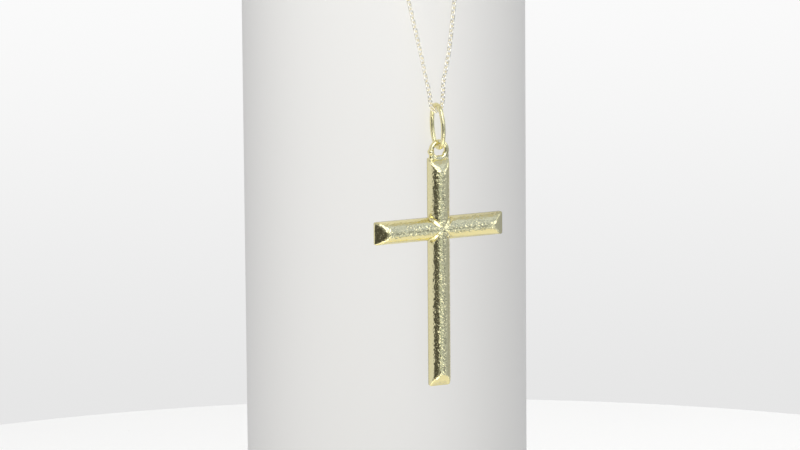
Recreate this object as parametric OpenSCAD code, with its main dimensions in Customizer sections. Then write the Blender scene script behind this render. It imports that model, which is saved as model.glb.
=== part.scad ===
// Cross necklace hung on a plain display column.
// +Z is up, -Y is the front, and the origin is the centre of the column's foot.

/* [Cross] */
// Height of the cross, without its ring
cross_h = 40; // [38:0.5:44]
// Width across the two arms
cross_w = 24.7; // [22:0.1:28]
// Width of each bar
bar_w = 4; // [3.8:0.05:4.1]
// Thickness of each bar at its crest
bar_t = 2.2; // [2.15:0.05:2.4]
// Depth from the top of the cross down to the middle of its arms
arms_drop = 12.4; // [11:0.2:14]
// Height of the plain edge under the rounded front
edge_t = 0.5; // [0.4:0.05:0.6]
// Length of the slope at the end of each bar
end_slope = 1.75; // [1.4:0.05:2]
// Rounding of the corners of each bar's ends
corner_r = 0.4; // [0.2:0.05:0.6]

/* [Rings] */
// Wire of the ring soldered to the top of the cross
eye_wire = 0.92; // [0.9:0.01:1]
// Radius of that ring's hole
eye_hole_r = 1; // [0.95:0.01:1.05]
// Height of that ring's centre above the top of the cross
eye_rise = 1.2; // [1.1:0.05:1.3]
// Wire of the oval bail that hangs on the chain
bail_wire = 0.8; // [0.76:0.02:0.84]
// Outer height of the bail
bail_h = 8.2; // [8:0.1:8.4]
// Outer width of the bail
bail_w = 5; // [4.8:0.05:5.2]
// Lean of the bail to the left, in degrees
bail_lean = 3; // [0:0.5:4]

/* [Chain] */
// Outer width of the chain
chain_d = 0.85; // [0.8:0.05:0.9]
// Clearance between the bail and the cross's ring
hang_gap = 0.1; // [0.1:0.01:0.13]

/* [Clasp] */
// Diameter of the barrel clasp
clasp_d = 2; // [1.6:0.1:2]
// Clearance between each end of the clasp and the chain
clasp_gap = 0.15; // [0.1:0.05:0.3]

/* [Column] */
// Diameter of the display column
column_d = 50; // [49.6:0.1:50]
// Height of the display column
column_h = 287; // [286.8:0.1:287]
// Rounding of the column's top edge
column_edge_r = 2; // [2:0.1:2.2]
// Diameter of the peg that the chain passes behind
peg_d = 9.8; // [9:0.1:10]
// Height of the peg
peg_h = 8; // [5:0.5:12]
// Rounding of the peg's top edge
peg_edge_r = 1; // [0.5:0.1:1.5]

/* [Hidden] */
$fn = 48;

// The middle of the pendant, and the height of the lowest point of the cross. The rings and
// the chain hang level with the back half of the cross.
pendant_x = -3.4;
pendant_y = -28.2;
hang_y = -27.75;
cross_foot_z = 45;
cross_top_z = cross_foot_z + cross_h;
arms_z = cross_top_z - arms_drop;

// The dome is part of a circle that meets the plain edge at the bar's full width
dome_rise = bar_t - edge_t;
dome_r = (pow(bar_w / 2, 2) + pow(dome_rise, 2)) / (2 * dome_rise);

// The rings hang in one another, so each height follows from the one below it
eye_r = eye_hole_r + eye_wire / 2;
eye_z = cross_top_z + eye_rise;
bail_foot_z = eye_z + eye_hole_r - hang_gap - bail_wire / 2;
bail_half_h = (bail_h - bail_wire) / 2;
bail_half_w = (bail_w - bail_wire) / 2;

// The bail is an oval of four arcs: small ones above and below, large ones at the sides.
// Two arcs meet on the line through both their centres, which rises 5 for every 12 across,
// so that the centres are 13 of the same units apart.
bail_unit = (bail_half_h - bail_half_w) / 4;
bail_end_r = bail_half_w - bail_unit;
bail_side_r = bail_half_w + 12 * bail_unit;

// The chain's lowest point, straight under the middle of the bail's leaning top wire
chain_low_x = pendant_x - 2 * bail_half_h * sin(bail_lean);
chain_low_z = bail_foot_z + 2 * bail_half_h * cos(bail_lean) - bail_wire / 2 - hang_gap - chain_d / 2;

gold = "gold";
lacquer = "white";

// The chain's route round the column. Columns: angle round the column's axis in degrees
// from +X, distance from the axis, and height.
left_strand = [
    [-103.5, 27.4, 104], [-110, 26.4, 118], [-121, 25.8, 140], [-134, 25.8, 165],
    [-147, 25.8, 190], [-160, 25.8, 215], [-173, 25.8, 240], [-186, 25.8, 262],
    [-194, 25.8, 274], [-198, 25.8, 281], [-199, 25.7, 285], [-199.5, 25, 287],
    [-200, 23, 287.75], [-203, 19, 287.75], [-212, 13, 287.75]
];
behind_peg = [[-239, 7.2, 287.75], [-265, 5.6, 287.75], [-290, 5.6, 287.75]];
right_strand = [
    [-17, 23, 287.75], [-17.5, 25, 287], [-18, 25.7, 285], [-19, 25.8, 281],
    [-22, 25.8, 272], [-30, 25.8, 253], [-42, 25.8, 225], [-53, 25.8, 199],
    [-63.5, 25.8, 174], [-73.5, 25.8, 150], [-82.5, 26.2, 130], [-88.5, 26.8, 115],
    [-92, 27.3, 104]
];
// The two points between which the clasp lies
clasp_left = [8.8, 1.5, 288.2];
clasp_right = [16.5, -3.2, 288.2];
// The loop under the bail's top wire, measured from its lowest point
bail_turn = [
    [1.45, 0.1, 5], [1.25, 0, 2.8], [1.08, 0, 1.5], [0.92, 0, 0.7], [0.52, 0, 0.13],
    [0, 0, 0],
    [-0.52, 0, 0.13], [-0.92, 0, 0.7], [-1.08, 0, 1.5], [-1.3, 0, 2.8], [-1.75, 0.15, 5]
];

function on_column(p) = [p[1] * cos(p[0]), p[1] * sin(p[0]), p[2]];

route = concat(
    [clasp_right],
    [for (p = right_strand) on_column(p)],
    [for (p = bail_turn) p + [chain_low_x, hang_y, chain_low_z]],
    [for (p = left_strand) on_column(p)],
    [for (p = behind_peg) on_column(p)],
    [clasp_left]
);

// A curve through the route's points, which also gives points between the far ones
function curve_point(a, b, c, d, t) =
    0.5 * (2 * b + (c - a) * t + (2 * a - 5 * b + 4 * c - d) * t * t
        + (3 * b - 3 * c + d - a) * t * t * t);
function steps(a, b) = norm(b - a) > 9 ? 3 : 1;
centre = concat(
    [for (i = [0:len(route) - 2])
        let (a = route[max(i - 1, 0)], b = route[i], c = route[i + 1],
            d = route[min(i + 2, len(route) - 1)], n = steps(b, c))
        for (k = [0:n - 1]) curve_point(a, b, c, d, k / n)],
    [route[len(route) - 1]]
);

function unit(v) = v / norm(v);
function along(i) = unit(centre[min(i + 1, len(centre) - 1)] - centre[max(i - 1, 0)]);
// Each ring's first direction is the last one's, turned as little as it can be
function sides(i, last) =
    i == len(centre) ? [] :
    let (t = along(i), s = unit(last - (last * t) * t))
    concat([s], sides(i + 1, s));

module tube(width, ring_sides) {
    first = sides(0, [0, 0, 1]);
    rings = len(centre);
    points = [
        for (i = [0:rings - 1], k = [0:ring_sides - 1])
            centre[i] + width / 2 * (cos(360 * k / ring_sides) * first[i]
                + sin(360 * k / ring_sides) * cross(along(i), first[i]))
    ];
    walls = [
        for (i = [0:rings - 2], k = [0:ring_sides - 1])
            let (a = i * ring_sides + k, b = i * ring_sides + (k + 1) % ring_sides)
            [a, a + ring_sides, b + ring_sides, b]
    ];
    start = [for (k = [0:ring_sides - 1]) k];
    end = [for (k = [ring_sides - 1:-1:0]) (rings - 1) * ring_sides + k];
    polyhedron(points, concat(walls, [start, end]), convexity = 10);
}

module rounded_square(width, length, corner) {
    square([width, length - 2 * corner], center = true);
    square([width - 2 * corner, length], center = true);
    for (x = [-1, 1], y = [-1, 1])
        translate([x * (width / 2 - corner), y * (length / 2 - corner)]) circle(corner);
}

// One bar along Z, with its flat back at y = bar_t / 2 and its rounded front towards -Y
module bar(length) {
    intersection() {
        translate([0, bar_t / 2, 0])
            rotate([90, 0, 0]) linear_extrude(bar_t) rounded_square(bar_w, length, corner_r);
        translate([0, bar_t / 2, -length / 2])
            linear_extrude(length)
                intersection() {
                    translate([0, dome_r - bar_t]) circle(dome_r, $fn = 96);
                    translate([-bar_w / 2, -bar_t]) square([bar_w, bar_t]);
                }
        translate([-bar_w, bar_t / 2, 0])
            rotate([90, 0, 90])
                linear_extrude(2 * bar_w)
                    polygon([
                        [0, -length / 2], [-edge_t, -length / 2],
                        [-bar_t, -length / 2 + end_slope], [-bar_t, length / 2 - end_slope],
                        [-edge_t, length / 2], [0, length / 2]
                    ]);
    }
}

module cross_pendant() {
    color(gold)
        translate([pendant_x, pendant_y, 0]) {
            translate([0, 0, cross_foot_z + cross_h / 2]) bar(cross_h);
            translate([0, 0, arms_z]) rotate([0, 90, 0]) bar(cross_w);
            translate([0, hang_y - pendant_y, eye_z])
                rotate([90, 0, 0])
                    rotate_extrude() translate([eye_r, 0]) circle(d = eye_wire);
        }
}

// The part of a whole ring that lies inside a wedge, which starts at the ring's centre
module bail_arc(radius, wedge) {
    intersection() {
        rotate_extrude() translate([radius, 0]) circle(d = bail_wire);
        translate([0, 0, -bail_wire]) linear_extrude(2 * bail_wire) polygon(wedge);
    }
}

// The oval stands across the cross and leans about the middle of its foot
module bail() {
    color(gold)
        translate([pendant_x, hang_y, bail_foot_z])
            rotate([0, -bail_lean, 0])
                translate([0, 0, bail_half_h])
                    rotate([90, 0, 90])
                        for (side = [0, 180])
                            rotate([0, 0, side]) {
                                translate([-12 * bail_unit, 0])
                                    bail_arc(bail_side_r, [[0, 0], [12, -5], [12, 5]]);
                                translate([0, 5 * bail_unit])
                                    bail_arc(bail_end_r, [[0, 0], [12, 5], [0, 12], [-12, 5]]);
                            }
}

module chain() {
    color(gold) tube(chain_d, 8);
}

module clasp() {
    span = clasp_right - clasp_left;
    body = norm(span) - 2 * clasp_gap;
    color(gold)
        translate((clasp_left + clasp_right) / 2)
            rotate([0, 0, atan2(span[1], span[0])])
                rotate([0, 90, 0]) cylinder(d = clasp_d, h = body, center = true);
}

module rounded_post(diameter, height, edge_r) {
    rotate_extrude(convexity = 4)
        union() {
            square([diameter / 2 - edge_r, height]);
            square([diameter / 2, height - edge_r]);
            translate([diameter / 2 - edge_r, height - edge_r])
                intersection() {
                    circle(edge_r);
                    square(edge_r);
                }
        }
}

module display_column() {
    color(lacquer) rounded_post(column_d, column_h, column_edge_r);
}

module peg() {
    color(lacquer) translate([0, 0, column_h]) rounded_post(peg_d, peg_h, peg_edge_r);
}

display_column();
peg();
chain();
clasp();
bail();
cross_pendant();  // cross
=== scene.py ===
"""The looks of a gold cross necklace that hangs on a white display column.

+Z is up, -Y is the front, and the origin is the centre of the column's foot. Sizes are in metres.
"""

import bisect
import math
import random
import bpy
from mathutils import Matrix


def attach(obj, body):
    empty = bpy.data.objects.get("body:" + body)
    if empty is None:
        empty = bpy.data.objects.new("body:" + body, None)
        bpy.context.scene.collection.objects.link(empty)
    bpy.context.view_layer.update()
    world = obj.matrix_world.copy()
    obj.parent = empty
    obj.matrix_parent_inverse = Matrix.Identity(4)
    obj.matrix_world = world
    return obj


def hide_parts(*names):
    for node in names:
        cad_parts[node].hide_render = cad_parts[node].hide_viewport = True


bl_info = {
    "name": "Cross necklace on a column",
    "version": (1, 0, 0),
    "blender": (4, 5, 0),
    "location": "3D View > Sidebar > Necklace",
    "description": "Makes the cross, its rings, the chain, the clasp, the lacquer and the stage",
    "category": "Add Mesh",
}

import bmesh
import bpy
from bpy.props import FloatProperty, FloatVectorProperty, IntProperty, PointerProperty
from mathutils import Matrix, Vector

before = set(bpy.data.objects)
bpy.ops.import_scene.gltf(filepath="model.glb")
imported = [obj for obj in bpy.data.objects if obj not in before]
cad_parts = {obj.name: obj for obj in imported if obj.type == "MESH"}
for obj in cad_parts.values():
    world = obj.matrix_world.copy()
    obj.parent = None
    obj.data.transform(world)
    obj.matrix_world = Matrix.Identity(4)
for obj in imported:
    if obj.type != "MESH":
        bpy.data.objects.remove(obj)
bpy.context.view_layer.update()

MM = 0.001
# Two places closer than this are the same place
TOUCHING = 1e-8

# The middle of the cross, the plane that its rings and the chain hang in, and the heights that
# follow from one another, as in the solids
PENDANT = Vector((-0.0034, -0.0282, 0))
HANG_Y = -0.02775
CROSS_TOP_Z = 0.085
EYE_Z = 0.0862
BAIL_FOOT_Z = 0.0867
BAIL_LEAN = math.radians(3)
CHAIN_LOW = Vector((-0.003787, -0.02775, 0.093165))

# The chain's route. Columns: angle round the column's axis in degrees from +X, distance from
# the axis in mm, and height in mm.
LEFT_STRAND = [
    (-103.5, 27.4, 104), (-110, 26.4, 118), (-121, 25.8, 140), (-134, 25.8, 165),
    (-147, 25.8, 190), (-160, 25.8, 215), (-173, 25.8, 240), (-186, 25.8, 262),
    (-194, 25.8, 274), (-198, 25.8, 281), (-199, 25.7, 285), (-199.5, 25, 287),
    (-200, 23, 287.75), (-203, 19, 287.75), (-212, 13, 287.75),
]
BEHIND_PEG = [(-239, 7.2, 287.75), (-265, 5.6, 287.75), (-290, 5.6, 287.75)]
RIGHT_STRAND = [
    (-17, 23, 287.75), (-17.5, 25, 287), (-18, 25.7, 285), (-19, 25.8, 281),
    (-22, 25.8, 272), (-30, 25.8, 253), (-42, 25.8, 225), (-53, 25.8, 199),
    (-63.5, 25.8, 174), (-73.5, 25.8, 150), (-82.5, 26.2, 130), (-88.5, 26.8, 115),
    (-92, 27.3, 104),
]
# The loop under the bail's top wire in mm, measured from its lowest point
BAIL_TURN = [
    (1.45, 0.1, 5), (1.25, 0, 2.8), (1.08, 0, 1.5), (0.92, 0, 0.7), (0.52, 0, 0.13),
    (0, 0, 0),
    (-0.52, 0, 0.13), (-0.92, 0, 0.7), (-1.08, 0, 1.5), (-1.3, 0, 2.8), (-1.75, 0.15, 5),
]
# The middle of the bail's top wire above the chain's lowest point, and how much further from
# that wire the links lie than the solid does. The links nearest to the wire have all of that
# slack, and it fades to none at the farther distance.
BAIL_WIRE_RISE = 0.925 * MM
LINK_SLACK = 0.15 * MM
SLACK_NEAR = 1.0 * MM
SLACK_FAR = 2.4 * MM
# The two points between which the clasp lies
CLASP_LEFT = Vector((0.0088, 0.0015, 0.2882))
CLASP_RIGHT = Vector((0.0165, -0.0032, 0.2882))


def linear(hex_colour):
    """An sRGB hex colour as the linear red, green and blue that Blender's sockets take."""
    parts = [int(hex_colour[i:i + 2], 16) / 255 for i in (1, 3, 5)]
    return tuple(c / 12.92 if c <= 0.04045 else ((c + 0.055) / 1.055) ** 2.4 for c in parts)


def share_of(value, start, end):
    """How far value has come on the way from start to end, from 0 to 1."""
    return min(max((value - start) / (end - start), 0), 1)


def length(name, description, default, low, high):
    """A size in metres that a user can change."""
    return FloatProperty(
        name=name, description=description, default=default, min=low, max=high,
        unit="LENGTH", subtype="DISTANCE", precision=5,
    )


def colour(name, description, hex_colour):
    """A colour that a user can change."""
    return FloatVectorProperty(
        name=name, description=description, default=linear(hex_colour), size=3,
        subtype="COLOR", min=0, max=1,
    )


class CrossSizes(bpy.types.PropertyGroup):
    """The sizes of the cross and of the ring soldered to its top."""

    height: length("Height", "Height of the cross, without its ring", 0.040, 0.030, 0.060)
    width: length("Width", "Width across the two arms", 0.0247, 0.018, 0.040)
    bar_width: length("Bar width", "Width of each bar", 0.004, 0.003, 0.006)
    thickness: length("Thickness", "Thickness of each bar at its crest", 0.0022, 0.0015, 0.003)
    arms_drop: length(
        "Arms drop", "Depth from the top to the middle of the arms", 0.0124, 0.008, 0.018)
    edge: length(
        "Plain edge", "Height of the plain edge under the rounded front", 0.0005, 0.0002, 0.001)
    end_slope: length(
        "End slope", "Length of the slope at the end of each bar", 0.00175, 0.001, 0.003)
    corner: length("Corner", "Rounding of the corners of each bar's ends", 0.0004, 0.0001, 0.001)
    softness: length("Softness", "How far polishing has rounded the ends", 0.0008, 0.00002, 0.0012)
    crease: length(
        "Crease", "Half the width of the creases where the bars cross", 0.00045, 0.0001, 0.0008)
    eye_radius: length(
        "Ring radius", "Radius of the ring, to the middle of its wire", 0.00146, 0.001, 0.002)
    eye_wire: length("Ring wire", "Thickness of the ring's wire", 0.00092, 0.0005, 0.0013)


class RingSizes(bpy.types.PropertyGroup):
    """The sizes of the oval bail and of the barrel clasp."""

    bail_height: length("Bail height", "Outer height of the bail", 0.0082, 0.006, 0.010)
    bail_width: length("Bail width", "Outer width of the bail", 0.005, 0.004, 0.007)
    bail_wire: length("Bail wire", "Thickness of the bail's wire", 0.0008, 0.0005, 0.0012)
    clasp_width: length("Clasp width", "Diameter of the barrel clasp", 0.002, 0.0015, 0.003)
    clasp_gap: length(
        "Clasp gap", "Clearance between the clasp's end and the chain", 0.00015, 0, 0.0005)


class ChainSizes(bpy.types.PropertyGroup):
    """The sizes of the trace chain's links."""

    link_width: length("Link width", "Outer width of a link", 0.00098, 0.0007, 0.0012)
    link_wire: length("Link wire", "Thickness of a link's wire", 0.00026, 0.00018, 0.0004)
    link_pitch: length("Link pitch", "Distance from one link to the next", 0.00079, 0.0006, 0.0012)
    link_sides: IntProperty(
        name="Link sides", description="Points round one link", default=14, min=10, max=16)


class FinishColours(bpy.types.PropertyGroup):
    """The colours of the metal, the column and the table."""

    gold: colour("Gold", "Colour of the cross and its rings", "#EBE1AC")
    # Paler than the gold of the cross and its rings: the extra paleness is painted highlight for
    # the brightness of the chain's many small glints
    highlit_chain_gold: colour("Chain gold", "Colour of the chain and clasp", "#FFF9E4")
    lacquer: colour("Lacquer", "Colour of the column's lacquer", "#F0EFEC")
    table: colour("Table", "Colour of the round table", "#F6F6F5")


class StageSizes(bpy.types.PropertyGroup):
    """The sizes of the table and of the light round the necklace."""

    table_radius: length("Table radius", "Radius of the round table", 0.187, 0.1, 0.5)
    key_power: FloatProperty(
        name="Key light", description="Power of the soft light above the camera",
        default=4.4, min=0, max=50, unit="POWER")
    rim_power: FloatProperty(
        name="Rim light", description="Power of the soft light behind the column's right side",
        default=2.0, min=0, max=50, unit="POWER")
    surround: FloatProperty(
        name="Surround", description="Strength of the white surroundings",
        default=1.0, min=0, max=5)


def add_node(tree, kind, inputs=None, **settings):
    """Adds one node.

    Each of inputs is a value for that socket, a socket to link to it, or a node, whose first
    output in use is linked to it.
    """
    node = tree.nodes.new(kind)
    for name, value in settings.items():
        setattr(node, name, value)
    for name, value in (inputs or {}).items():
        if isinstance(value, bpy.types.Node):
            value = next(output for output in value.outputs if output.enabled)
        if isinstance(value, bpy.types.NodeSocket):
            tree.links.new(value, node.inputs[name])
        else:
            node.inputs[name].default_value = value
    return node


def new_material(name):
    """An empty material, its nodes, and the socket with each point's place on the object."""
    material = bpy.data.materials.new(name)
    material.use_nodes = True
    tree = material.node_tree
    tree.nodes.clear()
    return material, tree, add_node(tree, "ShaderNodeTexCoord").outputs["Object"]


def rgba(colour_value):
    """A linear colour with the fourth value that a colour socket takes."""
    return (*colour_value, 1)


def polished_gold_wire(name, colour_value, blur=0.0):
    """Pale yellow gold, drawn into wire and tumbled bright.

    Drawing leaves the wire smooth, so that it mirrors its surroundings, and tumbling leaves
    fine dings that break up the brightest glints. blur is what soldering and pickling dull.
    """
    material, tree, place = new_material(name)
    # Dings from the tumbling are about 0.4 mm across
    dings = add_node(tree, "ShaderNodeTexNoise", {
        "Vector": place, "Scale": 1 / (0.4 * MM), "Detail": 3.0, "Roughness": 0.5})
    shine = add_node(tree, "ShaderNodeMapRange", {
        "Value": dings, "From Min": 0.3, "From Max": 0.7,
        "To Min": 0.1 + blur, "To Max": 0.2 + blur})
    relief = add_node(tree, "ShaderNodeBump", {
        "Height": dings, "Strength": 1.0, "Distance": 0.012 * MM})
    shader = add_node(tree, "ShaderNodeBsdfPrincipled", {
        "Base Color": rgba(colour_value), "Metallic": 1.0, "Roughness": shine, "Normal": relief})
    add_node(tree, "ShaderNodeOutputMaterial", {"Surface": shader})
    return material


def pressed_gold_sheet(name, colour_value):
    """Pale yellow gold sheet, pressed over a die into a rounded bar and buffed.

    Pressing stretches the sheet, and its grains show through the polish as orange peel, so that
    the front glitters where it mirrors something dark. The attribute cut_face is a half on the
    sloped ends and in the creases, which were worked over and are half as rough, and it is one
    on the ring and its solder, which are almost smooth.
    """
    material, tree, place = new_material(name)
    cut = add_node(tree, "ShaderNodeAttribute", attribute_name="cut_face")
    # The grains of the orange peel are 0.35 mm across, with pits 0.45 mm apart between them,
    # over a slower wave of 1.5 mm. Real grains are finer and wouldn't show in the render.
    grain = add_node(tree, "ShaderNodeTexNoise", {
        "Vector": place, "Scale": 1 / (0.35 * MM), "Detail": 2.0, "Roughness": 0.5})
    wave = add_node(tree, "ShaderNodeTexNoise", {
        "Vector": place, "Scale": 1 / (1.5 * MM), "Detail": 2.0})
    pits = add_node(tree, "ShaderNodeTexVoronoi", {
        "Vector": place, "Scale": 1 / (0.45 * MM), "Randomness": 1.0}, feature="SMOOTH_F1")
    peel = add_node(tree, "ShaderNodeMath", {0: grain, 1: pits}, operation="ADD")
    amount = add_node(tree, "ShaderNodeMapRange", {
        "Value": cut.outputs["Fac"], "From Min": 0.0, "From Max": 1.0,
        "To Min": 1.0, "To Max": 0.04})
    height = add_node(tree, "ShaderNodeMath", {0: peel, 1: amount}, operation="MULTIPLY")
    slow = add_node(tree, "ShaderNodeBump", {
        "Height": wave, "Strength": 1.0, "Distance": 0.02 * MM})
    relief = add_node(tree, "ShaderNodeBump", {
        "Height": height, "Strength": 1.0, "Distance": 0.06 * MM, "Normal": slow})
    shine = add_node(tree, "ShaderNodeMapRange", {
        "Value": grain, "From Min": 0.35, "From Max": 0.65, "To Min": 0.06, "To Max": 0.17})
    shader = add_node(tree, "ShaderNodeBsdfPrincipled", {
        "Base Color": rgba(colour_value), "Metallic": 1.0, "Roughness": shine, "Normal": relief})
    add_node(tree, "ShaderNodeOutputMaterial", {"Surface": shader})
    return material


def sprayed_lacquer(name, colour_value, roughness):
    """White nitrocellulose lacquer, sprayed over turned wood and left matte.

    Spraying leaves a very fine even pebble that spreads the light, and a few specks of dust
    dry in the film.
    """
    material, tree, place = new_material(name)
    # The pebble of the spray is 0.6 mm across
    pebble = add_node(tree, "ShaderNodeTexNoise", {
        "Vector": place, "Scale": 1 / (0.6 * MM), "Detail": 2.0})
    # The film is slightly thicker and thinner over 60 mm
    film = add_node(tree, "ShaderNodeTexNoise", {
        "Vector": place, "Scale": 1 / (60 * MM), "Detail": 1.0})
    # The specks are about 14 mm apart and 0.5 mm across
    dust = add_node(tree, "ShaderNodeTexVoronoi", {
        "Vector": place, "Scale": 1 / (14 * MM), "Randomness": 1.0})
    speck = add_node(tree, "ShaderNodeMapRange", {
        "Value": dust, "From Min": 0.012, "From Max": 0.022, "To Min": 1.0, "To Max": 0.0})
    pale = add_node(tree, "ShaderNodeMix", {
        "Factor": film, "A": rgba([c * 0.98 for c in colour_value]),
        "B": rgba(colour_value)}, data_type="RGBA")
    tint = add_node(tree, "ShaderNodeMix", {
        "Factor": speck, "A": pale, "B": rgba([c * 0.55 for c in colour_value])},
        data_type="RGBA")
    relief = add_node(tree, "ShaderNodeBump", {
        "Height": pebble, "Strength": 1.0, "Distance": 0.006 * MM})
    shader = add_node(tree, "ShaderNodeBsdfPrincipled", {
        "Base Color": tint, "Roughness": roughness, "IOR": 1.5, "Normal": relief})
    add_node(tree, "ShaderNodeOutputMaterial", {"Surface": shader})
    return material


def finished_mesh(mesh, name):
    """The mesh of a bmesh, which is freed."""
    data = bpy.data.meshes.new(name)
    mesh.to_mesh(data)
    mesh.free()
    return data


def new_object(data, material):
    """A shown object at the origin, named like its mesh, with every face shaded smooth."""
    data.materials.append(material)
    data.shade_smooth()
    made = bpy.data.objects.new(data.name, data)
    bpy.context.scene.collection.objects.link(made)
    return made


def add_faces(mesh, vertices, faces):
    """Adds new vertices and the faces between them to a bmesh, and returns the vertices."""
    made = [mesh.verts.new(v) for v in vertices]
    for face in faces:
        mesh.faces.new([made[n] for n in face])
    return made


def sweep_loop(points, across, wire, sides):
    """Vertices and faces of round wire that follows a closed flat loop of points.

    across is the direction square to the loop's plane.
    """
    vertices = []
    faces = []
    count = len(points)
    for i, point in enumerate(points):
        along = (points[(i + 1) % count] - points[i - 1]).normalized()
        outward = along.cross(across).normalized()
        for k in range(sides):
            angle = math.tau * k / sides
            spoke = math.cos(angle) * outward + math.sin(angle) * across
            vertices.append(point + wire / 2 * spoke)
            here = i * sides + k
            beside = i * sides + (k + 1) % sides
            after = ((i + 1) % count) * sides
            faces.append((here, beside, after + (k + 1) % sides, after + k))
    return vertices, faces


def ring_points(centre, radius, across, up, count):
    """Points of a circle round centre, in the plane square to across."""
    side = up.cross(across)
    angles = [math.tau * i / count for i in range(count)]
    return [centre + radius * (math.cos(angle) * side + math.sin(angle) * up) for angle in angles]


def add_turned(mesh, profile, foot, along, side, up, turns):
    """Adds a surface turned round the axis that leads from foot along a direction.

    profile holds the distance along the axis and the radius at each step.
    """
    rows = []
    for distance, radius in profile:
        middle = foot + along * distance
        if radius == 0:
            rows.append([mesh.verts.new(middle)])
        else:
            rows.append([
                mesh.verts.new(middle + radius * (
                    math.cos(math.tau * i / turns) * side + math.sin(math.tau * i / turns) * up))
                for i in range(turns)])
    for a, b in zip(rows, rows[1:]):
        for i in range(turns):
            n = (i + 1) % turns
            if len(a) == 1:
                mesh.faces.new((a[0], b[i], b[n]))
            elif len(b) == 1:
                mesh.faces.new((a[i], b[0], a[n]))
            else:
                mesh.faces.new((a[i], b[i], b[n], a[n]))


def soft_lower(a, b, soft):
    """The lower of two heights, with the crease between them rounded."""
    blend = max(soft - abs(a - b), 0) / soft
    return min(a, b) - blend * blend * soft / 4


def bar_stations(start, end, slope):
    """Distances along a bar from start to end, close together from just before the slope."""
    before_slope = 0.25 * MM
    coarse_step = 0.35 * MM
    fine_step = 0.08 * MM
    fine_from = end - slope - before_slope
    coarse = max(2, round((fine_from - start) / coarse_step))
    fine = round((end - fine_from) / fine_step)
    stations = [start + (fine_from - start) * i / coarse for i in range(1, coarse)]
    stations += [fine_from + (end - fine_from) * i / fine for i in range(fine + 1)]
    return stations


# The solder round the ring's foot: the middle of each lump and its half sizes, in mm from the
# ring's centre. The last is the lump at the left, where the ring's ends meet.
SOLDER_LUMPS = [
    ((0.1, 0, -1.35), (1.4, 0.42, 0.52)),
    ((-1.28, 0, -1.1), (0.66, 0.44, 0.7)),
    ((1.25, 0, -1.0), (0.66, 0.44, 0.85)),
    ((-1.58, -0.08, -0.15), (0.6, 0.6, 0.58)),
]


def soldered_ring(sizes):
    """Vertices and faces of the ring on the cross, run together with its solder."""
    mesh = bmesh.new()
    across = Vector((0, 1, 0))
    points = ring_points(Vector((0, 0, 0)), sizes.eye_radius, across, Vector((0, 0, 1)), 64)
    add_faces(mesh, *sweep_loop(points, across, sizes.eye_wire, 20))
    for middle, half_sizes in SOLDER_LUMPS:
        grown = Matrix.Diagonal(Vector(half_sizes) * MM).to_4x4()
        bmesh.ops.create_icosphere(
            mesh, subdivisions=3, radius=1, matrix=Matrix.Translation(Vector(middle) * MM) @ grown)
    bmesh.ops.recalc_face_normals(mesh, faces=mesh.faces[:])
    data = finished_mesh(mesh, "ring_before_solder_flows")
    lumps = bpy.data.objects.new(data.name, data)
    bpy.context.scene.collection.objects.link(lumps)
    joined = lumps.modifiers.new("Joined", "REMESH")
    joined.mode = "VOXEL"
    joined.voxel_size = 0.06 * MM
    flowed = lumps.modifiers.new("Flowed", "SMOOTH")
    flowed.factor = 0.5
    flowed.iterations = 8
    ready = lumps.evaluated_get(bpy.context.evaluated_depsgraph_get())
    made = ready.to_mesh()
    vertices = [v.co.copy() for v in made.vertices]
    faces = [tuple(face.vertices) for face in made.polygons]
    ready.to_mesh_clear()
    bpy.data.objects.remove(lumps)
    bpy.data.meshes.remove(data)
    if not faces:
        raise RuntimeError("the soldered ring came out empty")
    return vertices, faces


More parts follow.
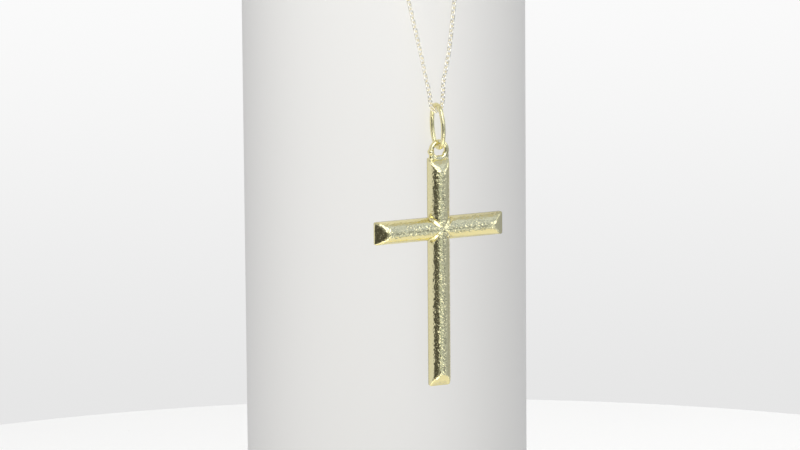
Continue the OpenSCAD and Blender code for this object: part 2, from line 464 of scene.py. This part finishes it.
class NECKLACE_OT_cross(bpy.types.Operator):
    """Makes the cross, with its ring"""

    bl_idname = "necklace.cross"
    bl_label = "Cross"

    def execute(self, context):
        sizes = context.scene.cross_sizes
        half = sizes.bar_width / 2
        rise = sizes.thickness - sizes.edge
        dome_radius = (half ** 2 + rise ** 2) / (2 * rise)
        dome_foot = sizes.thickness - dome_radius
        limit = math.asin(half / dome_radius)
        facets = 48
        across = [dome_radius * math.sin(limit * (2 * i / facets - 1)) for i in range(facets + 1)]
        across[0], across[-1] = -half, half
        slope_rate = rise / sizes.end_slope
        soft = sizes.softness
        crease = sizes.crease
        # The creases have their full width from this distance off the middle of the cross
        widest_from = 0.3 * half
        narrowest = 0.02 * MM

        arm = sizes.width / 2
        top = sizes.arms_drop
        foot = sizes.height - sizes.arms_drop
        arm_stations = bar_stations(half, arm, sizes.end_slope)
        foot_stations = bar_stations(half, foot, sizes.end_slope)
        top_stations = bar_stations(half, top, sizes.end_slope)
        xs = [-s for s in reversed(arm_stations)] + across + arm_stations
        zs = [-s for s in reversed(foot_stations)] + across + top_stations

        def bar_height(off_axis, to_end):
            """Height of one bar above its flat back, and whether that is on the sloped end."""
            dome = dome_foot + math.sqrt(max(dome_radius ** 2 - off_axis ** 2, 0))
            slope = sizes.edge + to_end * slope_rate
            return soft_lower(dome, slope, soft), slope < dome + soft / 4

        def to_upright_end(z):
            """Distance to the nearer end of the upright, along it."""
            return top - z if z > 0 else foot + z

        def corner_share(to_end):
            """How far out the rounded corners reach at a distance from a bar's end."""
            short = sizes.corner - min(to_end, sizes.corner)
            return (half - sizes.corner + math.sqrt(sizes.corner ** 2 - short ** 2)) / half

        def surface(x, z):
            """Height above the flat back, and whether the point is on a cut end or a crease."""
            found = []
            if abs(x) <= half + TOUCHING:
                found.append(bar_height(x, to_upright_end(z)))
            if abs(z) <= half + TOUCHING:
                found.append(bar_height(z, arm - abs(x)))
            if len(found) == 1:
                return found[0]
            # Each crease has a flat floor between the upright and the arm, which narrows to
            # almost nothing at the middle of the cross
            off_crease = (abs(z) - abs(x)) / math.sqrt(2)
            reach = max(crease * share_of(max(abs(x), abs(z)), 0, widest_from), narrowest)
            floor = reach / 2
            climb = share_of(abs(off_crease), floor, reach)
            share = 0.5 + math.copysign(0.5 * climb * climb * (3 - 2 * climb), off_crease)
            return found[0][0] * share + found[1][0] * (1 - share), climb < 0.5

        mesh = bmesh.new()
        cut_face = mesh.verts.layers.float.new("cut_face")
        fronts = {}
        backs = {}
        grid_place = {}
        back_y = sizes.thickness / 2
        for i, grid_x in enumerate(xs):
            for k, grid_z in enumerate(zs):
                x, z = grid_x, grid_z
                if abs(grid_z) > half:
                    x *= corner_share(to_upright_end(grid_z))
                elif abs(grid_x) > half:
                    z *= corner_share(arm - abs(grid_x))
                if abs(grid_x) > half + TOUCHING and abs(grid_z) > half + TOUCHING:
                    continue
                height, is_cut = surface(x, z)
                fronts[i, k] = mesh.verts.new((x, back_y - height, z))
                fronts[i, k][cut_face] = 0.5 if is_cut else 0.0
                backs[i, k] = mesh.verts.new((x, back_y, z))
                grid_place[backs[i, k]] = grid_x, grid_z
        left, low = len(arm_stations), len(foot_stations)
        for i in range(len(xs) - 1):
            for k in range(len(zs) - 1):
                corners = [(i, k), (i + 1, k), (i + 1, k + 1), (i, k + 1)]
                in_upright = left <= i < left + facets
                in_arms = low <= k < low + facets
                if not (in_upright or in_arms):
                    continue
                quad = [fronts[c] for c in corners]
                if in_upright and in_arms:
                    # The creases of the crossing run along the diagonals
                    a, b = i - left, k - low
                    rising = (a < facets / 2) == (b < facets / 2)
                    if rising:
                        mesh.faces.new((quad[0], quad[1], quad[2]))
                        mesh.faces.new((quad[0], quad[2], quad[3]))
                    else:
                        mesh.faces.new((quad[0], quad[1], quad[3]))
                        mesh.faces.new((quad[1], quad[2], quad[3]))
                else:
                    mesh.faces.new(quad)
                mesh.faces.new([backs[c] for c in reversed(corners)])
        # The plain edge joins the front's rim to the back's
        front_of = {back: fronts[key] for key, back in backs.items()}
        rims = [
            edge for edge in mesh.edges
            if len(edge.link_faces) == 1 and edge.verts[0] in front_of]
        for edge in rims:
            face = edge.link_faces[0]
            a, b = edge.verts
            loop = next(l for l in face.loops if l.edge == edge)
            if loop.vert != a:
                a, b = b, a
            mesh.faces.new((b, a, front_of[a], front_of[b]))
        # The back's rim is pulled in a little, which rounds it
        inset = 0.05 * MM
        rim_verts = {v for edge in rims for v in edge.verts}
        for v in rim_verts:
            x, z = grid_place[v]
            pull = Vector((0, 0, 0))
            if abs(abs(x) - half) < TOUCHING and abs(z) >= half - TOUCHING:
                pull.x = -math.copysign(inset, x)
            if abs(abs(z) - half) < TOUCHING and abs(x) >= half - TOUCHING:
                pull.z = -math.copysign(inset, z)
            if abs(abs(x) - arm) < TOUCHING:
                pull.x = -math.copysign(inset, x)
            if abs(z - top) < TOUCHING or abs(z + foot) < TOUCHING:
                pull.z = -math.copysign(inset, z)
            v.co += pull
        bmesh.ops.recalc_face_normals(mesh, faces=mesh.faces[:])

        # The ring stands on the top of the cross, in the same plane
        vertices, faces = soldered_ring(sizes)
        ring_centre = Vector((0, HANG_Y - PENDANT.y, EYE_Z - (CROSS_TOP_Z - sizes.arms_drop)))
        for v in add_faces(mesh, [ring_centre + v for v in vertices], faces):
            v[cut_face] = 1.0

        bmesh.ops.translate(
            mesh, verts=mesh.verts[:], vec=PENDANT + Vector((0, 0, CROSS_TOP_Z - sizes.arms_drop)))
        cross = new_object(
            finished_mesh(mesh, "cross_body"),
            pressed_gold_sheet("pressed_gold_sheet", context.scene.finish_colours.gold))
        rims_softened = cross.modifiers.new("Softened rims", "BEVEL")
        rims_softened.width = 0.06 * MM
        rims_softened.segments = 2
        rims_softened.limit_method = "ANGLE"
        rims_softened.angle_limit = math.radians(40)
        # The photograph shows no shadow and no yellow glow of the cross on the column
        cross.visible_diffuse = False
        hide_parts("cross")
        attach(cross, "pendant")
        return {"FINISHED"}


class NECKLACE_OT_bail(bpy.types.Operator):
    """Makes the oval bail that hangs on the chain"""

    bl_idname = "necklace.bail"
    bl_label = "Bail"

    def execute(self, context):
        sizes = context.scene.ring_sizes
        half_height = (sizes.bail_height - sizes.bail_wire) / 2
        half_width = (sizes.bail_width - sizes.bail_wire) / 2
        # Two arcs meet on a line through both centres, which rises 5 for every 12 across
        unit = (half_height - half_width) / 4
        meet = math.atan2(5, 12)
        foot = Vector((PENDANT.x, HANG_Y, BAIL_FOOT_Z))
        lean = Matrix.Rotation(-BAIL_LEAN, 3, "Y")
        points = []
        for sign in (1, -1):
            for centre, radius, start, end, steps in (
                ((-12 * unit, 0), half_width + 12 * unit, -meet, meet, 24),
                ((0, 5 * unit), half_width - unit, meet, math.pi - meet, 32),
            ):
                for i in range(steps):
                    angle = start + (end - start) * i / steps
                    y = centre[0] + radius * math.cos(angle)
                    z = centre[1] + radius * math.sin(angle)
                    points.append(foot + lean @ Vector((0, sign * y, half_height + sign * z)))
        vertices, faces = sweep_loop(points, lean @ Vector((1, 0, 0)), sizes.bail_wire, 20)
        data = bpy.data.meshes.new("bail_ring")
        data.from_pydata(vertices, [], faces)
        bail = new_object(data, polished_gold_wire(
            "polished_gold_wire", context.scene.finish_colours.gold, blur=0.1))
        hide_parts("bail")
        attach(bail, "bail")
        return {"FINISHED"}


def on_column(point):
    """A route point given by angle, distance and height, in metres."""
    degrees, distance, height = point
    angle = math.radians(degrees)
    return Vector((distance * math.cos(angle), distance * math.sin(angle), height)) * MM


def chain_curve():
    """Close points along the middle of the chain, from the clasp's right end to its left."""
    route = [CLASP_RIGHT]
    route += [on_column(p) for p in RIGHT_STRAND]
    for point in BAIL_TURN:
        from_wire = Vector(point) * MM - Vector((0, 0, BAIL_WIRE_RISE))
        slack = LINK_SLACK * share_of(from_wire.length, SLACK_FAR, SLACK_NEAR)
        route.append(CHAIN_LOW + Vector(point) * MM + from_wire.normalized() * slack)
    route += [on_column(p) for p in LEFT_STRAND + BEHIND_PEG]
    route += [CLASP_LEFT]
    points = []
    steps = 20
    for i in range(len(route) - 1):
        a, b, c = route[max(i - 1, 0)], route[i], route[i + 1]
        d = route[min(i + 2, len(route) - 1)]
        for k in range(steps):
            t = k / steps
            points.append(0.5 * (
                2 * b + (c - a) * t + (2 * a - 5 * b + 4 * c - d) * t * t
                + (3 * b - 3 * c + d - a) * t * t * t))
    return points + [route[-1]]


# The direction that the chain's links lie at 45 degrees to on the column's front, as photographed
FRONT_LEAN = Vector((-0.45, -0.89, 0))
# How far in front of the column's axis that direction starts and is reached, and the heights
# between which the direction turns upwards over the column's edge
FRONT_TURN = (5 * MM, 15 * MM)
EDGE_TURN = (285 * MM, 287.6 * MM)


def links_lean_about(point):
    """The direction that the links near a point lie at 45 degrees to, on either side.

    On the column's front that is FRONT_LEAN, further round it is outwards from the column, and
    on the column's top it is upwards.
    """
    outward = Vector((point.x, point.y, 0)).normalized()
    on_front = share_of(-point.y, *FRONT_TURN)
    over_edge = share_of(point.z, *EDGE_TURN)
    return outward.lerp(FRONT_LEAN, on_front).lerp(Vector((0, 0, 1)), over_edge)


class NECKLACE_OT_chain(bpy.types.Operator):
    """Makes the trace chain, link by link"""

    bl_idname = "necklace.chain"
    bl_label = "Chain"

    def execute(self, context):
        sizes = context.scene.chain_sizes
        points = chain_curve()
        run = [0.0]
        for a, b in zip(points, points[1:]):
            run.append(run[-1] + (b - a).length)
        total = run[-1]

        def place(distance):
            """The point of the chain's middle line at a distance from its start."""
            if distance <= 0:
                return points[0] + (points[1] - points[0]).normalized() * distance
            if distance >= total:
                return points[-1] + (points[-1] - points[-2]).normalized() * (distance - total)
            n = bisect.bisect_right(run, distance)
            return points[n - 1].lerp(points[n], share_of(distance, run[n - 1], run[n]))

        # The first and last links pass through the clasp's end rings, and each link has a
        # little play in the next
        lead = 0.04 * MM
        play = 0.01 * MM
        count = round((total + 2 * lead) / sizes.link_pitch) + 1
        pitch = (total + 2 * lead) / (count - 1)
        end_radius = (sizes.link_width - sizes.link_wire) / 2
        # Links touch inside, so a link is one pitch and one wire long, to the middle of its wire
        link_length = pitch + sizes.link_wire + play
        straight = link_length / 2 - end_radius
        outline = []
        for end in (1, -1):
            for i in range(sizes.link_sides // 2):
                angle = math.pi * i / (sizes.link_sides // 2 - 1) - math.pi / 2
                outline.append((
                    end * (straight + end_radius * math.cos(angle)),
                    end * end_radius * math.sin(angle)))
        random.seed(7)
        vertices = []
        faces = []
        sides = 6
        for n in range(count):
            middle = -lead + n * pitch
            before = place(middle - link_length / 2)
            after = place(middle + link_length / 2)
            along = (after - before).normalized()
            normal = links_lean_about(place(middle))
            normal = (normal - along * normal.dot(along)).normalized()
            # Each link is turned a quarter from the last, and none sits quite square
            roll = math.radians(45 + 90 * (n % 2) + random.uniform(-6, 6))
            flat = Matrix.Rotation(roll, 3, along) @ normal
            across = along.cross(flat)
            centre = (before + after) / 2
            start = len(vertices)
            link = [centre + along * u + across * v for u, v in outline]
            ring_vertices, ring_faces = sweep_loop(link, flat, sizes.link_wire, sides)
            vertices += ring_vertices
            faces += [tuple(start + v for v in face) for face in ring_faces]
        data = bpy.data.meshes.new("chain_links")
        data.from_pydata(vertices, [], faces)
        # The chain's paler gold is painted highlight for the brightness of its small glints
        chain = new_object(data, polished_gold_wire(
            "polished_chain_wire", context.scene.finish_colours.highlit_chain_gold))
        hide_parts("chain")
        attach(chain, "stand")
        return {"FINISHED"}


# The groove at the barrel's screw joint: distance from the barrel's middle in mm, and share of
# its radius
CLASP_GROOVE = [(0.5, 1), (0.56, 0.96), (0.62, 0.92), (0.74, 0.92), (0.8, 0.96), (0.86, 1)]


class NECKLACE_OT_clasp(bpy.types.Operator):
    """Makes the barrel clasp, with a ring at each end"""

    bl_idname = "necklace.clasp"
    bl_label = "Clasp"

    def execute(self, context):
        sizes = context.scene.ring_sizes
        span = CLASP_RIGHT - CLASP_LEFT
        half_length = span.length / 2 - sizes.clasp_gap
        along = span.normalized()
        up = Vector((0, 0, 1))
        side = along.cross(up)
        middle = (CLASP_LEFT + CLASP_RIGHT) / 2
        radius = sizes.clasp_width / 2
        nose = 0.35 * radius
        shoulder_length = 0.6 * MM
        ring_radius = 0.5 * MM
        ring_wire = 0.3 * MM
        # Each end ring is sunk into the barrel's nose by half its wire
        barrel_half = half_length - 2 * ring_radius - ring_wire / 2
        shoulder = []
        for i in range(9):
            angle = math.pi / 2 * i / 8
            shoulder.append((
                shoulder_length * (1 - math.cos(angle)), nose + (radius - nose) * math.sin(angle)))
        profile = [(-barrel_half, 0)]
        profile += [(-barrel_half + inward, width) for inward, width in shoulder]
        profile += [(at * MM, share * radius) for at, share in CLASP_GROOVE]
        profile += [(barrel_half - inward, width) for inward, width in reversed(shoulder)]
        profile += [(barrel_half, 0)]
        mesh = bmesh.new()
        add_turned(mesh, profile, middle, along, side, up, turns=48)
        for end in (1, -1):
            centre = middle + along * end * (half_length - ring_radius - ring_wire / 2)
            ring = ring_points(centre, ring_radius, side, up, 32)
            add_faces(mesh, *sweep_loop(ring, side, ring_wire, 12))
        bmesh.ops.recalc_face_normals(mesh, faces=mesh.faces[:])
        # The clasp's paler gold is painted highlight, as on the chain
        clasp = new_object(finished_mesh(mesh, "barrel_clasp"), polished_gold_wire(
            "polished_clasp_gold", context.scene.finish_colours.highlit_chain_gold))
        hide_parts("clasp")
        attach(clasp, "stand")
        return {"FINISHED"}


class NECKLACE_OT_column(bpy.types.Operator):
    """Gives the column and its peg their lacquer"""

    bl_idname = "necklace.column"
    bl_label = "Column finish"

    def execute(self, context):
        lacquer = sprayed_lacquer(
            "sprayed_white_lacquer", context.scene.finish_colours.lacquer, roughness=0.5)
        for name in ("display_column", "peg"):
            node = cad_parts[name]
            node.data.materials.clear()
            node.data.materials.append(lacquer)
        return {"FINISHED"}


# The camera, from the photograph's own angles: how far round from the front and how high it
# stands, its roll, its distance, the point it looks at and its lens
CAMERA_AZIMUTH = math.radians(-26.566)
CAMERA_ELEVATION = math.radians(9.753)
CAMERA_ROLL = math.radians(-0.444)
CAMERA_DISTANCE = 0.7827
CAMERA_TARGET = Vector((-0.01098, -0.0278, 0.073833))
CAMERA_LENS = 205.54


def add_camera(scene):
    """The camera at the photograph's viewing angle."""
    sin_a, cos_a = math.sin(CAMERA_AZIMUTH), math.cos(CAMERA_AZIMUTH)
    sin_e, cos_e = math.sin(CAMERA_ELEVATION), math.cos(CAMERA_ELEVATION)
    back = Vector((sin_a * cos_e, -cos_a * cos_e, sin_e))
    level = Vector((cos_a, sin_a, 0))
    up = back.cross(level)
    right = math.cos(CAMERA_ROLL) * level + math.sin(CAMERA_ROLL) * up
    up = back.cross(right)
    camera = bpy.data.objects.new("camera", bpy.data.cameras.new("camera"))
    camera.data.sensor_width = 36
    camera.data.lens = CAMERA_LENS
    camera.data.clip_start = 0.01
    camera.data.clip_end = 50
    turned = Matrix((right, up, back)).transposed().to_4x4()
    turned.translation = CAMERA_TARGET + back * CAMERA_DISTANCE
    camera.matrix_world = turned
    scene.collection.objects.link(camera)
    scene.camera = camera


def add_table(scene):
    """A round white table with a rounded edge. Its top is the level that the column stands on."""
    radius = scene.stage_sizes.table_radius
    centre = Vector((0.002, -0.010, 0))
    rounding = 4 * MM
    thickness = 18 * MM
    chamfer = 2 * MM
    profile = [(0, 0), (0, radius - rounding)]
    for i in range(1, 9):
        angle = math.pi / 2 * i / 8
        profile.append((
            -rounding + rounding * math.cos(angle), radius - rounding + rounding * math.sin(angle)))
    profile += [(chamfer - thickness, radius), (-thickness, radius - chamfer), (-thickness, 0)]
    mesh = bmesh.new()
    add_turned(
        mesh, profile, centre, Vector((0, 0, 1)), Vector((1, 0, 0)), Vector((0, 1, 0)), turns=192)
    bmesh.ops.recalc_face_normals(mesh, faces=mesh.faces[:])
    table = new_object(
        finished_mesh(mesh, "round_table"),
        sprayed_lacquer("satin_white_table", scene.finish_colours.table, roughness=0.6))
    # The gold mirrors the floor of the surroundings instead, and the tent's light from below
    # stands for what the table throws up at the column
    table.visible_glossy = False
    table.visible_diffuse = False


def light_round(tree, degrees_left, walls):
    """The light of the walls round the necklace, from a table of degrees to the left and light."""
    way_round = add_node(tree, "ShaderNodeMapRange", {
        "Value": degrees_left, "From Min": -180, "From Max": 180})
    ramp = add_node(tree, "ShaderNodeValToRGB", {"Fac": way_round})
    elements = ramp.color_ramp.elements
    while len(elements) > 1:
        elements.remove(elements[-1])
    for n, (degrees, light) in enumerate(walls):
        element = elements[0] if n == 0 else elements.new((degrees + 180) / 360)
        element.position = (degrees + 180) / 360
        element.color = rgba(light)
    return ramp


# What stands round the necklace, low down and higher up: degrees to the left of the front, and
# the light from there. A black screen stands at the left, with a white one behind it.
ROOM_LOW = [
    (-180, (0.50, 0.50, 0.50)), (-140, (0.36, 0.37, 0.40)), (-100, (0.40, 0.43, 0.50)),
    (-60, (0.46, 0.50, 0.64)), (-20, (0.45, 0.50, 0.62)), (-5, (0.54, 0.60, 0.70)),
    (10, (0.48, 0.54, 0.62)), (20, (0.24, 0.25, 0.25)), (32, (0.10, 0.10, 0.10)),
    (71, (0.06, 0.06, 0.06)), (76, (0.80, 0.82, 0.92)), (130, (0.80, 0.82, 0.92)),
    (180, (0.85, 0.85, 0.88)),
]
ROOM_HIGH = [
    (-180, (0.50, 0.50, 0.50)), (-140, (0.45, 0.45, 0.45)), (-80, (0.55, 0.60, 0.72)),
    (-20, (0.62, 0.70, 0.98)), (20, (0.60, 0.66, 0.80)), (60, (0.30, 0.31, 0.34)),
    (76, (0.80, 0.82, 0.92)), (130, (0.80, 0.82, 0.92)), (180, (0.50, 0.50, 0.50)),
]
CEILING = (0.62, 0.60, 0.56)
FLOOR = (0.98, 0.955, 0.88)
# Lamps and reflectors in the room: degrees left of the front, degrees up, half their width in
# degrees, and their light, which fades out round that width
LAMPS = [
    (12, -30, 3, 9.0), (10, 33, 20, 2.2), (19, 8, 7, 2.0),
    (-6, 10, 6, 1.9), (-11, -26, 7, 1.7), (-43, 7, 7, 1.6), (-45, -26, 5, 1.3),
    (50, -46, 18, 0.6), (6, -50, 8, 3.0), (-71, 18, 8, 2.0), (-84, -35, 8, 0.9),
]
# The light that falls on matte surfaces, from the front and from behind, and what is added to
# it from above and from the table below. The first value is the way that leads behind.
TENT_AWAY = (0.09, 0.996, 0)
TENT_FRONT = 0.14
TENT_BACK = 0.56
TENT_TOP = 0.46
TENT_LOW = 0.30
# The setting of every range in the surroundings: the light changes smoothly over it
SMOOTH = {"interpolation_type": "SMOOTHSTEP"}


def direction(degrees_left, degrees_up):
    """The direction at an angle to the left of the front and at an angle upwards."""
    left, up = math.radians(degrees_left), math.radians(degrees_up)
    return Vector((-math.sin(left) * math.cos(up), -math.cos(left) * math.cos(up), math.sin(up)))


def add_surround(scene):
    """A plain pale backdrop, and the lit room that the gold and the lacquer see."""
    world = bpy.data.worlds.new("white_studio")
    world.use_nodes = True
    tree = world.node_tree
    tree.nodes.clear()
    place = add_node(tree, "ShaderNodeTexCoord").outputs["Generated"]
    ray = add_node(tree, "ShaderNodeVectorMath", {0: place}, operation="NORMALIZE")
    parts = add_node(tree, "ShaderNodeSeparateXYZ", {"Vector": ray}).outputs
    height = parts["Z"]
    to_left = add_node(tree, "ShaderNodeMath", {0: parts["X"], 1: -1.0}, operation="MULTIPLY")
    to_front = add_node(tree, "ShaderNodeMath", {0: parts["Y"], 1: -1.0}, operation="MULTIPLY")
    turn = add_node(tree, "ShaderNodeMath", {0: to_left, 1: to_front}, operation="ARCTAN2")
    degrees_left = add_node(tree, "ShaderNodeMath", {
        0: turn, 1: 180 / math.pi}, operation="MULTIPLY")

    # Lit and unlit things in front of the necklace break up the light from there
    things = add_node(tree, "ShaderNodeTexNoise", {"Vector": ray, "Scale": 7.0, "Detail": 1.0})
    lit_thing = add_node(tree, "ShaderNodeMapRange", {
        "Value": things, "From Min": 0.36, "From Max": 0.64,
        "To Min": 0.3, "To Max": 1.75}, **SMOOTH)
    off_front = add_node(tree, "ShaderNodeMath", {0: degrees_left}, operation="ABSOLUTE")
    in_front = add_node(tree, "ShaderNodeMapRange", {
        "Value": off_front, "From Min": 72, "From Max": 45}, **SMOOTH)
    broken = add_node(tree, "ShaderNodeMix", {
        "Factor": in_front, "A": 1.0, "B": lit_thing}, data_type="FLOAT")
    higher = add_node(tree, "ShaderNodeMapRange", {
        "Value": height, "From Min": -0.06, "From Max": 0.14}, **SMOOTH)
    walls = add_node(tree, "ShaderNodeMix", {
        "Factor": higher, "A": light_round(tree, degrees_left, ROOM_LOW),
        "B": light_round(tree, degrees_left, ROOM_HIGH)}, data_type="RGBA")
    broken_walls = add_node(tree, "ShaderNodeVectorMath", {
        0: walls, "Scale": broken}, operation="SCALE")
    near_ceiling = add_node(tree, "ShaderNodeMapRange", {
        "Value": height, "From Min": 0.82, "From Max": 0.92}, **SMOOTH)
    covered = add_node(tree, "ShaderNodeMix", {
        "Factor": near_ceiling, "A": broken_walls, "B": rgba(CEILING)}, data_type="RGBA")
    off_floor = add_node(tree, "ShaderNodeMapRange", {
        "Value": height, "From Min": -0.69, "From Max": -0.61}, **SMOOTH)
    room = add_node(tree, "ShaderNodeMix", {
        "Factor": off_floor, "A": rgba(FLOOR), "B": covered}, data_type="RGBA")
    for degrees, degrees_up, half_width, light in LAMPS:
        nearness = add_node(tree, "ShaderNodeVectorMath", {
            0: ray, 1: direction(degrees, degrees_up)}, operation="DOT_PRODUCT")
        lamp = add_node(tree, "ShaderNodeMapRange", {
            "Value": nearness, "From Min": math.cos(math.radians(half_width * 1.2)),
            "From Max": math.cos(math.radians(half_width * 0.8)), "To Max": light}, **SMOOTH)
        room = add_node(tree, "ShaderNodeVectorMath", {0: room, 1: lamp}, operation="ADD")

    # Matte surfaces are lit as in a white tent, brighter above and behind than in front
    behind = add_node(tree, "ShaderNodeVectorMath", {0: ray, 1: TENT_AWAY}, operation="DOT_PRODUCT")
    tent = add_node(tree, "ShaderNodeMapRange", {
        "Value": behind, "From Min": -0.6, "From Max": 0.4,
        "To Min": TENT_FRONT, "To Max": TENT_BACK}, **SMOOTH)
    for start, end, added in ((0.3, 0.8, TENT_TOP), (-0.3, -0.6, TENT_LOW)):
        share = add_node(tree, "ShaderNodeMapRange", {
            "Value": height, "From Min": start, "From Max": end, "To Max": added}, **SMOOTH)
        tent = add_node(tree, "ShaderNodeMath", {0: tent, 1: share}, operation="ADD")
    light_path = add_node(tree, "ShaderNodeLightPath").outputs
    lit = add_node(tree, "ShaderNodeMix", {
        "Factor": light_path["Is Diffuse Ray"], "A": room, "B": tent}, data_type="RGBA")

    # Seen straight, there is only the plain backdrop, a little dimmer low down
    backdrop = add_node(tree, "ShaderNodeMapRange", {
        "Value": height, "From Min": -0.23, "From Max": -0.10,
        "To Min": 0.78, "To Max": 0.97}, **SMOOTH)
    seen = add_node(tree, "ShaderNodeMix", {
        "Factor": light_path["Is Camera Ray"], "A": lit, "B": backdrop}, data_type="RGBA")
    glow = add_node(tree, "ShaderNodeBackground", {
        "Color": seen, "Strength": scene.stage_sizes.surround})
    add_node(tree, "ShaderNodeOutputWorld", {"Surface": glow})
    # Each kind of ray sees its own surroundings, so none is guessed from all of them
    world.cycles.sampling_method = "NONE"
    scene.world = world


# The point that both lights are turned to
LIGHTS_AIM = Vector((0, 0, 0.07))


def add_light(scene, name, degrees_left, degrees_up, distance, size, power):
    """A soft square light for the matte column, at an angle to the front.

    The lights throw no shadows, because the photograph shows none on the column, and the gold
    mirrors the lamps of the surroundings instead.
    """
    light = bpy.data.objects.new(name, bpy.data.lights.new(name, "AREA"))
    light.data.shape = "SQUARE"
    light.data.size = size
    light.data.energy = power
    light.data.use_shadow = False
    away = direction(degrees_left, degrees_up)
    light.location = LIGHTS_AIM + away * distance
    light.rotation_euler = (-away).to_track_quat("-Z", "Y").to_euler()
    light.visible_camera = False
    light.visible_glossy = False
    scene.collection.objects.link(light)


class NECKLACE_OT_stage(bpy.types.Operator):
    """Makes the camera, the table, the surroundings and the lights"""

    bl_idname = "necklace.stage"
    bl_label = "Stage"

    def execute(self, context):
        scene = context.scene
        add_camera(scene)
        add_table(scene)
        add_surround(scene)
        add_light(
            scene, "key_light", degrees_left=24, degrees_up=38, distance=0.7, size=0.5,
            power=scene.stage_sizes.key_power)
        add_light(
            scene, "rim_light", degrees_left=-115, degrees_up=10, distance=0.9, size=0.4,
            power=scene.stage_sizes.rim_power)
        scene.view_settings.view_transform = "Standard"
        return {"FINISHED"}


class NECKLACE_PT_pieces(bpy.types.Panel):
    """Lists the pieces and their sizes"""

    bl_label = "Cross necklace"
    bl_space_type = "VIEW_3D"
    bl_region_type = "UI"
    bl_category = "Necklace"

    def draw(self, context):
        scene = context.scene
        for group in ("cross_sizes", "ring_sizes", "chain_sizes", "finish_colours", "stage_sizes"):
            settings = getattr(scene, group)
            box = self.layout.box()
            for name in settings.bl_rna.properties.keys():
                if name not in ("rna_type", "name"):
                    box.prop(settings, name)
        for operator in OPERATORS:
            self.layout.operator(operator.bl_idname)


GROUPS = {
    "cross_sizes": CrossSizes,
    "ring_sizes": RingSizes,
    "chain_sizes": ChainSizes,
    "finish_colours": FinishColours,
    "stage_sizes": StageSizes,
}
OPERATORS = [
    NECKLACE_OT_cross,
    NECKLACE_OT_bail,
    NECKLACE_OT_chain,
    NECKLACE_OT_clasp,
    NECKLACE_OT_column,
    NECKLACE_OT_stage,
]


def register():
    for group in GROUPS.values():
        bpy.utils.register_class(group)
    for name, group in GROUPS.items():
        setattr(bpy.types.Scene, name, PointerProperty(type=group))
    for operator in OPERATORS:
        bpy.utils.register_class(operator)
    bpy.utils.register_class(NECKLACE_PT_pieces)


def unregister():
    bpy.utils.unregister_class(NECKLACE_PT_pieces)
    for operator in reversed(OPERATORS):
        bpy.utils.unregister_class(operator)
    for name in GROUPS:
        delattr(bpy.types.Scene, name)
    for group in reversed(GROUPS.values()):
        bpy.utils.unregister_class(group)


def main():
    """Makes every piece."""
    register()
    bpy.ops.necklace.cross()
    bpy.ops.necklace.bail()
    bpy.ops.necklace.chain()
    bpy.ops.necklace.clasp()
    bpy.ops.necklace.column()
    bpy.ops.necklace.stage()


if __name__ == "__main__":
    main()
